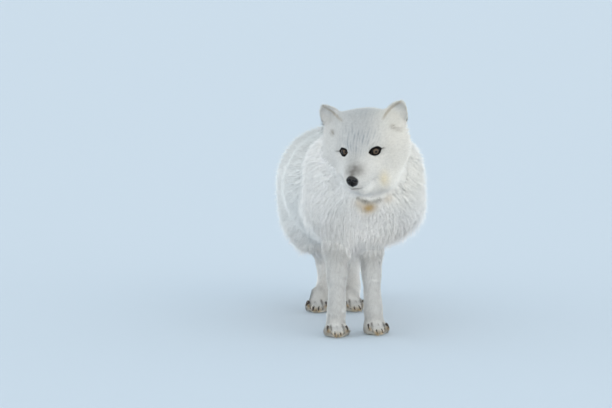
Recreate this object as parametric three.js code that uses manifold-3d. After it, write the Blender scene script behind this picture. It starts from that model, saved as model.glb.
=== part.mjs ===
// A life-size arctic fox in full winter coat, standing still with its head turned to its right.
//
// Millimetres, +Z up. The fox faces -Y, so +X is its own left. The origin is on the floor under the
// middle of its bounding box. Every surface is the outline of the coat, out to the tips of the hair.
//
// Each fleshy piece is a union of soft masses, given as a field that is negative inside. The field
// is turned into a closed mesh by casting rays outward from a spine, and the pieces are then cut
// apart with thin gaps, so that they meet without overlap.
import * as THREE from 'three';
import { mergeVertices } from 'three/addons/utils/BufferGeometryUtils.js';
import Module from 'manifold-3d';

const wasm = await Module();
wasm.setup();

// ---- Driving dimensions ---------------------------------------------------------------------

const GAP = 0.3; // between neighbouring pieces
const HUGE = 2000; // edge of the blocks that cut the model with a flat face

// Where each paw stands, which way its toes turn, and where the hind leg comes down on it.
const FORE = {
  left: { paw: [33, -110], turn: 5 },
  right: { paw: [-36, -123], turn: -4 },
};
const HIND = {
  left: { paw: [38, 150], turn: 8, shank: 44 },
  right: { paw: [-22, 150], turn: -18, shank: -7 },
};
const HEAD = {
  at: [4, -166, 328], // middle of the skull
  yaw: -24.3, // towards the fox's right
  pitch: 21, // nose down
  roll: -5, // left side up
};
const EYE = { radius: 9.6, at: [24.5, -34, 8], socket: { at: [26.5, -44, 8], size: [12, 7, 8] } };
const NOSE = { at: [0, -91, -18], size: [10.2, 8, 8.8] };
const PAW = { width: 44, length: 58, height: 30, toes: 4, sole: 2 };
// A toe's half width and half length, how far the outer toes lie behind and above the inner ones,
// and how closely the inner ones stand together.
const TOE = { size: [7.2, 14.5], back: 9.5, above: 2, closeness: 1.15 };
const CLAW = { length: 11, radius: 2.2, raised: 8 }; // the outer claws stand higher
const CUTS = { neck: [0, -104, 262], neckLean: 40, chestY: -20, rumpY: 92 };
const EAR = { base: [46, 20, 24], tip: [68, 28, 58], half: 27, thick: 11, cup: 0.74, turn: 12 };

// Stations down each leg: [out from the middle plane, behind the middle of the paw, height, radius].
const FORELEG = {
  shoulder: { at: [32, 34, 166], size: [22, 40, 32] },
  elbow: [33, 32, 178, 25],
  forearm: [31, 13, 108, 17],
  wrist: [32, 4, 48, 16],
  ankle: [0, 8, 24, 17],
};
const HINDLEG = {
  thigh: { at: [36, -14, 140], size: [28, 46, 36] },
  knee: [40, -36, 154, 32],
  shin: [0, 12, 118, 22],
  hock: [0, 37, 88, 15],
  shank: [0, 20, 44, 13.5],
  heel: [0, 10, 22, 14.5],
};

// Stations down the tail: [x, y, z, radius], and the planes that part it in three.
const TAIL = [
  [7, 168, 240, 38], [11, 206, 232, 44], [22, 244, 206, 49], [34, 266, 164, 51], [42, 275, 118, 46],
  [46, 274, 76, 36], [47, 270, 44, 20],
];
const TAIL_CUTS = [
  { at: [16, 226, 220], normal: [0, 0.6, -0.8] },
  { at: [37, 269, 148], normal: [0, 0, -1] },
];

const COLOURS = {
  coat: 0xe9ebea,
  paw: 0xd8d0bd,
  nose: 0x16181c,
  eye: 0x5a3d22,
  claw: 0x3a3029,
};

// ---- Fields -----------------------------------------------------------------------------------

const point = (at) => new THREE.Vector3(...at);

// An ellipsoid, by a close estimate of the distance to it.
const egg = (at, size) => ({ x, y, z }) => {
  const [dx, dy, dz] = [x - at[0], y - at[1], z - at[2]];
  const near = Math.hypot(dx / size[0], dy / size[1], dz / size[2]);
  const slope = Math.hypot(dx / size[0] ** 2, dy / size[1] ** 2, dz / size[2] ** 2);
  return slope < 1e-9 ? -Math.min(...size) : (near * (near - 1)) / slope;
};

// A round bar from a to b, of radius ra at a and rb at b.
const bar = (a, ra, b, rb) => {
  const [start, end] = [point(a), point(b)];
  const along = end.clone().sub(start);
  return (p) => {
    const t = THREE.MathUtils.clamp(p.clone().sub(start).dot(along) / along.lengthSq(), 0, 1);
    return p.distanceTo(start.clone().addScaledVector(along, t)) - THREE.MathUtils.lerp(ra, rb, t);
  };
};

// Bars joined end to end through stations of [x, y, z, radius].
const chain = (...stations) =>
  stations.slice(1).map(([x, y, z, radius], i) => {
    const [px, py, pz, before] = stations[i];
    return bar([px, py, pz], before, [x, y, z], radius);
  });

// The same mass on both sides of the middle plane.
const pair = (make) => [1, -1].map(make);

// Masses that run into each other over a distance of about k.
const blend = (k, masses) => (p) =>
  masses
    .map((mass) => mass(p))
    .reduce((a, b) => Math.min(a, b) - Math.max(k - Math.abs(a - b), 0) ** 2 / (4 * k));

// ---- Meshes from fields -----------------------------------------------------------------------

// Where a ray from inside the field leaves it.
function exit(field, start, direction) {
  const at = (s) => start.clone().addScaledVector(direction, s);
  let [inside, outside] = [0, 0];
  for (let step = 0; step < 400; step++) {
    const depth = -field(at(outside));
    if (depth < 0) break;
    inside = outside;
    outside += Math.max(0.7 * depth, 0.25);
  }
  for (let halving = 0; halving < 14; halving++) {
    const middle = (inside + outside) / 2;
    if (field(at(middle)) < 0) inside = middle;
    else outside = middle;
  }
  return at(outside);
}

// A closed mesh of a field: rings of rays square to a spine, with a fan of rays over each end. Where
// a form narrows fast towards its far end, the rings between the ends lean that way.
function shell(field, spine, { sides, rings, caps, lean = 0, grow = 0 }) {
  const grown = (p) => field(p) - grow;
  const line = new THREE.CatmullRomCurve3(spine.map(point));
  const stations = [];
  for (let i = 1; i < caps; i++) stations.push([0, (i / caps - 1) * (Math.PI / 2)]);
  for (let i = 0; i <= rings; i++) stations.push([i / rings, lean * Math.sin((i / rings) * Math.PI)]);
  for (let i = 1; i < caps; i++) stations.push([1, (i / caps) * (Math.PI / 2)]);

  const points = [];
  for (const [t, tilt] of stations) {
    const centre = line.getPointAt(t);
    const forward = line.getTangentAt(t);
    const side = new THREE.Vector3(1, 0, 0).addScaledVector(forward, -forward.x).normalize();
    const over = forward.clone().cross(side);
    for (let j = 0; j < sides; j++) {
      const turn = (j / sides) * 2 * Math.PI;
      const ray = side
        .clone()
        .multiplyScalar(Math.cos(turn) * Math.cos(tilt))
        .addScaledVector(over, Math.sin(turn) * Math.cos(tilt))
        .addScaledVector(forward, Math.sin(tilt));
      points.push(exit(grown, centre, ray));
    }
  }
  const [first, last] = [points.length, points.length + 1];
  points.push(exit(grown, line.getPointAt(0), line.getTangentAt(0).negate()));
  points.push(exit(grown, line.getPointAt(1), line.getTangentAt(1)));

  const index = [];
  const top = (stations.length - 1) * sides;
  for (let j = 0; j < sides; j++) {
    const k = (j + 1) % sides;
    index.push(first, k, j, last, top + j, top + k);
    for (let row = 0; row < top; row += sides) {
      index.push(row + j, row + k, row + sides + j);
      index.push(row + k, row + sides + k, row + sides + j);
    }
  }
  const geometry = new THREE.BufferGeometry().setFromPoints(points);
  geometry.setIndex(index);
  return geometry;
}

// ---- Solids, cuts and nodes ---------------------------------------------------------------------

function solid(geometry, matrix = new THREE.Matrix4()) {
  const bare = geometry.clone().applyMatrix4(matrix);
  bare.deleteAttribute('normal');
  bare.deleteAttribute('uv');
  const merged = mergeVertices(bare, 1e-3);
  const vertProperties = new Float32Array(merged.attributes.position.array);
  const triVerts = new Uint32Array(merged.index.array);
  return new wasm.Manifold(new wasm.Mesh({ numProp: 3, vertProperties, triVerts }));
}

// The main body of a solid, without the slivers that a cut along a faceted surface can leave.
const main = (made) => made.decompose().reduce((a, b) => (b.volume() > a.volume() ? b : a));

// Everything on the side of a plane that the normal points to, less half a gap.
function beyond(at, normal) {
  const out = point(normal).normalize();
  const block = new THREE.BoxGeometry(HUGE, HUGE, HUGE).translate(0, 0, HUGE / 2 + GAP / 2);
  const turn = new THREE.Quaternion().setFromUnitVectors(new THREE.Vector3(0, 0, 1), out);
  return solid(block, new THREE.Matrix4().compose(point(at), turn, new THREE.Vector3(1, 1, 1)));
}

const aboveFloor = solid(new THREE.BoxGeometry(HUGE, HUGE, HUGE).translate(0, 0, HUGE / 2));

const materials = Object.fromEntries(
  Object.entries(COLOURS).map(([slot, color]) => [
    slot,
    new THREE.MeshStandardMaterial({
      name: slot,
      color,
      roughness: slot === 'eye' ? 0.1 : slot === 'nose' || slot === 'claw' ? 0.4 : 0.95,
      metalness: 0,
    }),
  ]),
);

// Adds a solid that is given in the fox's frame to a group, in that group's own frame.
function add(group, name, made, slot = 'coat') {
  const { vertProperties, triVerts, numProp } = main(made).getMesh();
  const geometry = new THREE.BufferGeometry();
  const positions = Array.from({ length: vertProperties.length / numProp }, (_, i) =>
    Array.from(vertProperties.subarray(i * numProp, i * numProp + 3)),
  ).flat();
  geometry.setAttribute('position', new THREE.Float32BufferAttribute(positions, 3));
  geometry.setIndex(Array.from(triVerts));
  geometry.applyMatrix4(group.matrixWorld.clone().invert());
  geometry.computeVertexNormals();
  const mesh = new THREE.Mesh(geometry, materials[slot]);
  mesh.name = name;
  group.add(mesh);
}

const fox = new THREE.Group();
fox.name = 'arctic_fox';

function group(name, parent, at = [0, 0, 0], turn = [0, 0, 0]) {
  const made = new THREE.Group();
  made.name = name;
  made.position.set(...at);
  made.rotation.set(...turn.map(THREE.MathUtils.degToRad), 'ZXY');
  parent.add(made);
  made.updateWorldMatrix(true, false);
  return made;
}

// ---- Torso: neck, chest, barrel and rump -------------------------------------------------------

const torsoField = blend(26, [
  egg([18, -82, 226], [108, 88, 80]), // chest and shoulders
  egg([14, -118, 256], [84, 66, 74]), // ruff over the throat
  egg([18, -86, 292], [100, 62, 66]), // ruff behind the cheeks
  ...chain([14, -60, 272, 76], [8, -114, 306, 76]), // neck
  egg([11, 28, 235], [112, 116, 104]), // barrel
  egg([6, 124, 232], [106, 92, 104]), // rump
  ...pair((s) => egg([9 + s * 52, 130, 174], [48, 60, 60])), // thighs
]);
const TORSO_SPINE = [[9, 146, 230], [11, 28, 234], [13, -92, 258]];
const TORSO_GRID = { sides: 24, rings: 8, caps: 6 };
const torso = solid(shell(torsoField, TORSO_SPINE, TORSO_GRID));
const torsoGrown = solid(shell(torsoField, TORSO_SPINE, { ...TORSO_GRID, grow: GAP }));

// ---- Head --------------------------------------------------------------------------------------

const head = group('head_group', fox, HEAD.at, [HEAD.pitch, HEAD.roll, HEAD.yaw]);

const headField = blend(14, [
  egg([0, 20, 9], [52, 50, 48]), // cranium
  ...pair((s) => egg([s * 25, 15, 29], [27, 28, 27])), // fur between the ears
  egg([0, -22, 11], [36, 28, 24]), // forehead
  ...pair((s) => egg([s * 36, 8, -12], [40, 44, 42])), // cheeks
  ...pair((s) => egg([s * 42, 16, 7], [32, 36, 34])), // fur below the ears
  ...pair((s) => egg([s * 24, -8, -49], [38, 42, 33])), // fur under the cheeks
  ...pair((s) => egg([s * 16, -42, -20], [21, 22, 19])), // cheekbones to muzzle
  ...chain([0, -34, -9, 23], [0, -60, -14, 19], [0, -81, -18, 13]), // muzzle
  ...pair((s) => egg([s * 8, -74, -26], [11, 17, 10])), // lips
  ...chain([0, -30, -52, 24], [0, -62, -42, 15], [0, -78, -34, 8.5]), // lower jaw
]);
const HEAD_SPINE = [[0, 30, -6], [0, -30, -12], [0, -76, -24]];
const HEAD_GRID = { sides: 22, rings: 12, caps: 4, lean: 0.7 };
const skull = shell(headField, HEAD_SPINE, HEAD_GRID);
const skullGrown = solid(shell(headField, HEAD_SPINE, { ...HEAD_GRID, grow: GAP }), head.matrixWorld);

// A ball squeezed to three radii, in the frame of the head.
function ball(at, size, grow = 0) {
  const round = new THREE.SphereGeometry(1, 12, 8);
  const scale = new THREE.Vector3(...size.map((radius) => radius + grow));
  const matrix = new THREE.Matrix4().compose(point(at), new THREE.Quaternion(), scale);
  return solid(round, matrix.premultiply(head.matrixWorld));
}

let headSolid = solid(skull, head.matrixWorld);
const eyeSize = [EYE.radius, EYE.radius, EYE.radius];
for (const side of [1, -1]) {
  const [at, socketAt] = [EYE.at, EYE.socket.at].map(([x, y, z]) => [side * x, y, z]);
  const name = side > 0 ? 'left' : 'right';
  headSolid = headSolid.subtract(ball(at, eyeSize, GAP)).subtract(ball(socketAt, EYE.socket.size));
  add(head, 'eye_' + name, ball(at, eyeSize), 'eye');
}
headSolid = headSolid.subtract(ball(NOSE.at, NOSE.size, GAP));
add(head, 'nose', ball(NOSE.at, NOSE.size), 'nose');
add(head, 'head', headSolid);

// ---- Ears --------------------------------------------------------------------------------------

// A rounded blade with its front hollowed out. Its own frame has Z along the ear and -Y to the front.
function ear(side) {
  const base = point([side * EAR.base[0], EAR.base[1], EAR.base[2]]);
  const tip = point([side * EAR.tip[0], EAR.tip[1], EAR.tip[2]]);
  const length = base.distanceTo(tip);
  const frame = group(side > 0 ? 'ear_group_left' : 'ear_group_right', head, base.toArray(), [
    THREE.MathUtils.radToDeg(Math.atan2(EAR.base[1] - EAR.tip[1], EAR.tip[2] - EAR.base[2])),
    side * THREE.MathUtils.radToDeg(Math.atan2(EAR.tip[0] - EAR.base[0], EAR.tip[2] - EAR.base[2])),
    side * EAR.turn,
  ]);
  const { half, thick, cup } = EAR;
  const blade = blend(8, [
    egg([0, 0, 0], [half, thick, 0.75 * length]),
    egg([0, 0, 0.42 * length], [0.78 * half, 0.72 * thick, 0.6 * length]),
    egg([0, 0, 0.7 * length], [0.5 * half, 0.5 * thick, 0.38 * length]),
  ]);
  const spine = [[0, 0, -0.2 * length], [0, 0, 0.35 * length], [0, 0, 0.85 * length]];
  const form = (grow) =>
    solid(shell(blade, spine, { sides: 16, rings: 5, caps: 3, grow }), frame.matrixWorld);
  const hollow = egg([0, -thick, 0.42 * length], [cup * half, 1.32 * thick, 0.62 * length]);
  const cupSpine = [[0, -thick, 0.2 * length], [0, -thick, 0.65 * length]];
  const scoop = solid(shell(hollow, cupSpine, { sides: 12, rings: 3, caps: 3 }), frame.matrixWorld);
  add(frame, side > 0 ? 'ear_left' : 'ear_right', form(0).subtract(scoop).subtract(skullGrown));
  return form(GAP);
}
const [earLeft, earRight] = pair(ear);
const headRoom = skullGrown.add(earLeft).add(earRight);

// ---- Torso pieces --------------------------------------------------------------------------------

const lean = THREE.MathUtils.degToRad(CUTS.neckLean);
const neckNormal = [0, -Math.cos(lean), Math.sin(lean)];
const chestAt = [0, CUTS.chestY, 0];
const rumpAt = [0, CUTS.rumpY, 0];
const against = (normal) => normal.map((x) => -x);
const forwards = [0, -1, 0];

const body = group('torso_group', fox);
add(body, 'neck', torso.intersect(beyond(CUTS.neck, neckNormal)).subtract(headRoom));
const trunk = torso.intersect(beyond(CUTS.neck, against(neckNormal))).subtract(headRoom);
add(body, 'chest', trunk.intersect(beyond(chestAt, forwards)));
const behindChest = trunk.intersect(beyond(chestAt, against(forwards)));
add(body, 'barrel', behindChest.intersect(beyond(rumpAt, forwards)));
add(body, 'rump', behindChest.intersect(beyond(rumpAt, against(forwards))));

// ---- Paws and claws ------------------------------------------------------------------------------

// Where the middle of each toe lies, and how far its claw turns outward, from -1 to 1.
const toes = Array.from({ length: PAW.toes }, (_, i) => {
  const turn = (i - (PAW.toes - 1) / 2) / ((PAW.toes - 1) / 2);
  const x = Math.sign(turn) * Math.abs(turn) ** TOE.closeness * 0.36 * PAW.width;
  const y = -0.32 * PAW.length + TOE.back * turn ** 2;
  return { x, y, z: 0.32 * PAW.height + TOE.above * turn ** 2, turn };
});

const pawField = blend(3.5, [
  egg([0, 3, 0.42 * PAW.height], [0.41 * PAW.width, 0.4 * PAW.length, 0.5 * PAW.height]),
  ...chain([0, 6, 16, 17], [0, 8, 34, 14.5]),
  ...toes.map(({ x, y, z }) => egg([x, y, z], [...TOE.size, 0.36 * PAW.height])),
]);
const PAW_SPINE = [[0, 12, 13], [0, 0, 12], [0, -14, 11]];
const PAW_GRID = { sides: 16, rings: 4, caps: 3 };

// A claw: a bent cone from inside the toe down towards the floor.
function claw({ x, y, turn }) {
  const raised = CLAW.raised * turn ** 2;
  const front = y - TOE.size[1];
  const tip = [x + 2 * turn, front - 0.3 * CLAW.length, 4 + raised];
  const mid = [x + turn, front + 0.25 * CLAW.length, 8 + raised];
  const root = [x, front + 0.7 * CLAW.length, 9 + raised];
  const r = CLAW.radius;
  const cone = blend(1, [bar(root, r, mid, 0.95 * r), bar(mid, 0.95 * r, tip, 0.35 * r)]);
  return (grow) => shell(cone, [root, mid, tip], { sides: 5, rings: 2, caps: 1, grow });
}

// One foot: its paw with a flat sole, its claws, and the part of the leg that the paw carries.
function foot(name, at, turn, legField, legSpine, legName) {
  const paw = group(name + '_group', fox, at, [0, 0, turn]);
  const place = paw.matrixWorld;
  const sink = new THREE.Matrix4().makeTranslation(0, 0, -PAW.sole).premultiply(place);
  let pad = solid(shell(pawField, PAW_SPINE, PAW_GRID), sink).intersect(aboveFloor);
  const padGrown = solid(shell(pawField, PAW_SPINE, { ...PAW_GRID, grow: GAP }), sink);
  toes.forEach((toe, i) => {
    const nail = claw(toe);
    pad = pad.subtract(solid(nail(GAP), place));
    add(paw, name.replace('paw', 'claw') + '_' + (i + 1), solid(nail(0), place), 'claw');
  });
  const leg = solid(shell(legField, legSpine, LEG_GRID)).subtract(torsoGrown).subtract(padGrown);
  add(paw, name, pad, 'paw');
  add(fox, legName, leg);
}

// ---- Legs ----------------------------------------------------------------------------------------

const LEG_GRID = { sides: 12, rings: 8, caps: 2 };

// A station of a leg as [x, y, z, radius], for a leg whose middle line is at x = lineX.
const station = (lineX, pawY, [, back, height, radius]) => [lineX, pawY + back, height, radius];
const centre = ([x, y, z]) => [x, y, z];

function foreleg(side, name) {
  const { paw, turn } = FORE[name];
  const { shoulder } = FORELEG;
  const line = [
    station(side * FORELEG.elbow[0], paw[1], FORELEG.elbow),
    station(side * FORELEG.forearm[0] - 2, paw[1], FORELEG.forearm),
    station(side * FORELEG.wrist[0] - 2, paw[1], FORELEG.wrist),
    station(paw[0], paw[1], FORELEG.ankle),
  ];
  const at = [side * shoulder.at[0], paw[1] + shoulder.at[1], shoulder.at[2]];
  const field = blend(12, [egg(at, shoulder.size), ...chain(...line)]);
  foot('forepaw_' + name, [...paw, 0], turn, field, line.map(centre), 'foreleg_' + name);
}

function hindleg(side, name) {
  const { paw, turn, shank } = HIND[name];
  const { thigh } = HINDLEG;
  const kneeX = side * HINDLEG.knee[0] + 4;
  const line = [
    station(kneeX, paw[1], HINDLEG.knee),
    station((2 * shank + kneeX) / 3, paw[1], HINDLEG.shin),
    station(shank, paw[1], HINDLEG.hock),
    station(shank, paw[1], HINDLEG.shank),
    station((shank + 2 * paw[0]) / 3, paw[1], HINDLEG.heel),
  ];
  const at = [side * thigh.at[0] + 4, paw[1] + thigh.at[1], thigh.at[2]];
  const field = blend(12, [egg(at, thigh.size), ...chain(...line)]);
  foot('hindpaw_' + name, [...paw, 0], turn, field, line.map(centre), 'hindleg_' + name);
}

foreleg(1, 'left');
hindleg(1, 'left');
foreleg(-1, 'right');
hindleg(-1, 'right');

// ---- Tail ----------------------------------------------------------------------------------------

const tailField = blend(14, chain(...TAIL));
const tailWhole = solid(shell(tailField, TAIL.map(centre), { sides: 16, rings: 11, caps: 3 }));
const tail = tailWhole.subtract(torsoGrown);
const tailGroup = group('tail_group', fox);
const [first, second] = TAIL_CUTS;
add(tailGroup, 'tail_base', tail.intersect(beyond(first.at, against(first.normal))));
const tailRest = tail.intersect(beyond(first.at, first.normal));
add(tailGroup, 'tail_middle', tailRest.intersect(beyond(second.at, against(second.normal))));
add(tailGroup, 'tail_tip', tailRest.intersect(beyond(second.at, second.normal)));

// ---- The part's frame ----------------------------------------------------------------------------

const box = new THREE.Box3().setFromObject(fox, true);
const middle = box.getCenter(new THREE.Vector3());
fox.position.set(-middle.x, -middle.y, -box.min.z);

export default fox;
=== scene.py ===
"""The looks of an arctic fox in winter coat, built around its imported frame.

One skin lies under the frame's outline by the depth of the coat, and closed tufts of hair grow from
it, out to that outline. The eyes, nose, claws and whiskers are pieces of their own. Everything is in
metres, with +Z up; the fox faces -Y, and +X is its own left.
"""
import contextlib
import itertools
import math

import bmesh
import bpy
import numpy as np
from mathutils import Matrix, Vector
from mathutils.bvhtree import BVHTree
from mathutils.kdtree import KDTree


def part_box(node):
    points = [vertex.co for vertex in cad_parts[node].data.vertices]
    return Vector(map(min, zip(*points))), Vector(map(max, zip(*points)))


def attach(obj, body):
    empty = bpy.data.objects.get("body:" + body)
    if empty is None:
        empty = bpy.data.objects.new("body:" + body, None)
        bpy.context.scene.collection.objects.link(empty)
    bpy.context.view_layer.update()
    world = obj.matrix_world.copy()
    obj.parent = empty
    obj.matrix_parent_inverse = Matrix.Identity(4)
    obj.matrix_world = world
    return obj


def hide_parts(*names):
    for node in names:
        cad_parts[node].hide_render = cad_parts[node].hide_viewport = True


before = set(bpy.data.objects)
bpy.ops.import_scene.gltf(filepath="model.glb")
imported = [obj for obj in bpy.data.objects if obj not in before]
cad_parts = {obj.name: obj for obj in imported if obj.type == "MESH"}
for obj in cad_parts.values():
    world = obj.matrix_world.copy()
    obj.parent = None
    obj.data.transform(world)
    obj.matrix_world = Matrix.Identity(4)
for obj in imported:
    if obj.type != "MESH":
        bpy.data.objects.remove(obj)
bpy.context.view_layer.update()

MM = 0.001
SIDES = {"left": 1, "right": -1}
BODY = "root"
RNG = np.random.default_rng(11)

# ---- Small tools ----


def unit(vectors):
    vectors = np.asarray(vectors, float)
    return vectors / np.maximum(np.linalg.norm(vectors, axis=-1, keepdims=True), 1e-9)


def ramp(low, high, value):
    """0 below low, 1 above high, and a smooth step between."""
    t = np.clip((np.asarray(value, float) - low) / (high - low), 0, 1)
    return t * t * (3 - 2 * t)


def mix(a, b, share):
    return a + (b - a) * share


def turned(one, other, angle):
    """The first direction turned by this angle towards the second, which is square to it."""
    return np.cos(angle) * one + np.sin(angle) * other


def in_plane(vectors, normals):
    """The vectors laid onto the surface that has these normals, at length 1."""
    return unit(vectors - normals * np.sum(vectors * normals, axis=-1, keepdims=True))


def middle(node):
    low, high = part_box(node)
    return (np.array(low) + np.array(high)) / 2


def read(items, key, width, kind=np.float32):
    """One property of all these parts of a mesh, in rows of this width."""
    found = np.empty(len(items) * width, kind)
    items.foreach_get(key, found)
    return found.reshape(-1, width)


def points_of(mesh):
    return read(mesh.vertices, "co", 3).astype(float)


def normals_of(mesh):
    return read(mesh.vertex_normals, "vector", 3).astype(float)


def edges_of(mesh):
    return read(mesh.edges, "vertices", 2, np.int32)


def triangles_of(mesh):
    mesh.calc_loop_triangles()
    return read(mesh.loop_triangles, "vertices", 3, np.int32)


def new_mesh(name, points, faces):
    mesh = bpy.data.meshes.new(name)
    mesh.from_pydata(np.asarray(points).tolist(), [], faces)
    mesh.update()
    return mesh


def move_points(mesh, points):
    mesh.vertices.foreach_set("co", points.astype(np.float32).ravel())
    mesh.update()


@contextlib.contextmanager
def edited(mesh):
    """The mesh opened for editing, and written back at the end."""
    bm = bmesh.new()
    bm.from_mesh(mesh)
    yield bm
    bm.to_mesh(mesh)
    bm.free()


def nearest_among(targets, places):
    """For each place, the number of the target nearest to it."""
    tree = KDTree(len(targets))
    for i, target in enumerate(targets):
        tree.insert(target, i)
    tree.balance()
    return np.array([tree.find(place)[1] for place in places])


def averaged(values, edges, rounds, weight=1.0):
    """Values on a mesh's points, each drawn towards the mean of its neighbours, round after round."""
    values = np.array(values, float)
    flat = values.reshape(len(values), -1)
    a, b = edges[:, 0], edges[:, 1]
    degree = np.maximum(np.bincount(edges.ravel(), minlength=len(flat)), 1)
    weight = np.broadcast_to(weight, len(flat))
    for _ in range(rounds):
        for k in range(flat.shape[1]):
            column = flat[:, k]
            total = np.bincount(a, column[b], len(flat)) + np.bincount(b, column[a], len(flat))
            flat[:, k] = column + weight * (total / degree - column)
    return flat.reshape(values.shape)


def new_object(name, mesh):
    made = bpy.data.objects.new(name, mesh)
    bpy.context.scene.collection.objects.link(made)
    return made


def write_colours(mesh, name, colours):
    layer = mesh.color_attributes.new(name, "FLOAT_COLOR", "POINT")
    solid = np.concatenate([colours, np.ones((len(colours), 1))], axis=1)
    layer.data.foreach_set("color", solid.astype(np.float32).ravel())


def circle(sides, across, up):
    """Points round the ellipse with these two half axes."""
    turns = np.linspace(0, 2 * math.pi, sides, endpoint=False)[:, None]
    return turned(across, up, turns)


def finish_piece(name, mesh, material, slot, *nodes):
    """The mesh as a piece, in place of these nodes of the frame. The slot is not used."""
    mesh.materials.append(MATERIALS[material])
    made = new_object(name, mesh)
    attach(made, BODY)
    if nodes:
        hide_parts(*nodes)


# ---- The head's own frame ----

EYE_MIDDLE = np.array([0, -34.0, 8.0])  # between the eyes, in the head's frame, in mm
MUZZLE_SLOPE = math.radians(24.5)  # how far the line from there to the nose drops below the head's axis

EYES = {side: middle("eye_" + side) for side in SIDES}
# How far the eyes sit from those of the frame, and the nose likewise, in the head's frame, in mm.
EYE_SHIFT = {"left": (2.8, 0, -1.4), "right": (3.8, 0, -0.2)}
NOSE_SHIFT = np.array([-1.9, 0.0, -1.9])
EYE_RADIUS = (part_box("eye_left")[1][2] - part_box("eye_left")[0][2]) / 2


def head_frame():
    across = unit(EYES["left"] - EYES["right"])
    brow = (EYES["left"] + EYES["right"]) / 2
    muzzle = in_plane(middle("nose") - brow, across)
    under = np.cross(across, muzzle)
    axes = np.array([across, turned(-muzzle, under, MUZZLE_SLOPE), turned(-under, -muzzle, MUZZLE_SLOPE)])
    return brow - MM * EYE_MIDDLE @ axes, axes


HEAD_AT, HEAD_AXES = head_frame()
EYES = {side: at + MM * np.array(EYE_SHIFT[side]) @ HEAD_AXES for side, at in EYES.items()}


def to_head(points):
    """Places in the head's frame, in mm: +X to its left, +Y to its back, +Z up."""
    return (np.asarray(points) - HEAD_AT) @ HEAD_AXES.T / MM


def from_head(places):
    return HEAD_AT + MM * np.asarray(places, float) @ HEAD_AXES


NOSE_AT = to_head(middle("nose")) + NOSE_SHIFT
NOSE_SIZE = np.array([9.9, 8.0, 8.6])  # half its width, depth and height, in mm

# ---- Regions of the coat ----

# For each region: how the names of its nodes start, and its figures: the coat's depth, how long and how
# wide its tufts are (mm), how far the skin is smoothed, and how much a lock draws its tufts together.
# The head takes every other node, and its depth, length and width change from place to place.
FIGURES = ("depth", "length", "width", "relax", "clump")
REGIONS = {
    "head": ((), (0, 0, 0, 0.3, 0.08)),
    "ear": (("ear",), (1.6, 5.5, 0.7, 0.1, 0.08)),
    "neck": (("neck",), (24, 50, 1.3, 1.0, 0.04)),
    "trunk": (("chest", "barrel", "rump"), (24, 54, 1.55, 1.0, 0.03)),
    "tail": (("tail",), (22, 46, 1.7, 1.0, 0.12)),
    "leg": (("foreleg", "hindleg"), (5, 13, 1.0, 0.3, 0.12)),
    "paw": (("forepaw", "hindpaw", "foreclaw", "hindclaw"), (2.2, 7.5, 0.8, 0.04, 0.1)),
}


def region_of(node):
    return next((name for name, (starts, _) in REGIONS.items() if node.startswith(starts)), "head")


NODES = sorted(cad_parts)
REGION_NAMES = list(REGIONS)
NODE_REGION = np.array([REGION_NAMES.index(region_of(node)) for node in NODES])
CLAWS = [node for node in NODES if "claw" in node]
FLESH = [node for node in NODES if node not in CLAWS and not node.startswith(("eye", "nose"))]


def frame_surface():
    """The frame's whole outline as one search tree, with the node that each of its faces is of."""
    corners, faces, owners = [], [], []
    for index, node in enumerate(NODES):
        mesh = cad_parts[node].data
        start = len(corners)
        corners += [v.co.copy() for v in mesh.vertices]
        faces += [[start + i for i in face.vertices] for face in mesh.polygons]
        owners += [index] * len(mesh.polygons)
    return BVHTree.FromPolygons(corners, faces), np.array(owners)


OUTLINE, OUTLINE_NODE = frame_surface()


def nearest_node(points):
    """For each point, the number of the node whose surface it is nearest to."""
    return OUTLINE_NODE[[OUTLINE.find_nearest(Vector(p))[2] for p in points]]


def within(regions, *names):
    """Which of these numbers of regions are those of the named ones."""
    return np.isin(regions, [REGION_NAMES.index(name) for name in names])


THIGH = (0.130, 0.175)  # the heights, in m, between which a leg's coat turns into the trunk's
THIGH_LENGTH = 0.45  # how far it turns as long


def per_region(key, regions, points):
    """A figure of REGIONS at each point. The tops of the legs take after the coat of the trunk."""
    column = np.array([figures[FIGURES.index(key)] for _, figures in REGIONS.values()], float)
    thigh = within(regions, "leg") * ramp(*THIGH, points[:, 2]) * (THIGH_LENGTH if key == "length" else 1)
    return mix(column[regions], column[REGION_NAMES.index("trunk")], thigh)


# ---- Skin ----

VOXEL = 2.4 * MM
WELD = 0.4 * MM  # each node swells by this, so that the thin gaps between them close
PLAIN_SHARE = 0.62  # of the skin's faces are kept, the loss being under the thick coat
THICKEST = 0.2  # how far thickness is looked for, in m
DEEPEST = 0.36  # the coat's depth is at most this share of the body's thickness
SINK_STEPS = 6


def modified(made, kind, **settings):
    """The object's mesh as a modifier changes it. The object itself goes."""
    modifier = made.modifiers.new(kind, kind)
    for key, value in settings.items():
        setattr(modifier, key, value)
    graph = bpy.context.evaluated_depsgraph_get()
    mesh = bpy.data.meshes.new_from_object(made.evaluated_get(graph), depsgraph=graph)
    bpy.data.objects.remove(made)
    return mesh


def remeshed_outline():
    """All the frame's nodes, a little swollen, as one closed surface of even quads."""
    mesh = bpy.data.meshes.new("outline")
    with edited(mesh) as whole:
        for node in NODES:
            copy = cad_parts[node].data.copy()
            with edited(copy) as bm:
                bmesh.ops.remove_doubles(bm, verts=bm.verts, dist=1e-6)
                bm.normal_update()
                for vertex in bm.verts:
                    vertex.co += vertex.normal * WELD
            whole.from_mesh(copy)
            bpy.data.meshes.remove(copy)
    rough = new_object("outline", mesh)
    return largest_shell(modified(rough, "REMESH", mode="VOXEL", voxel_size=VOXEL))


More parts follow.
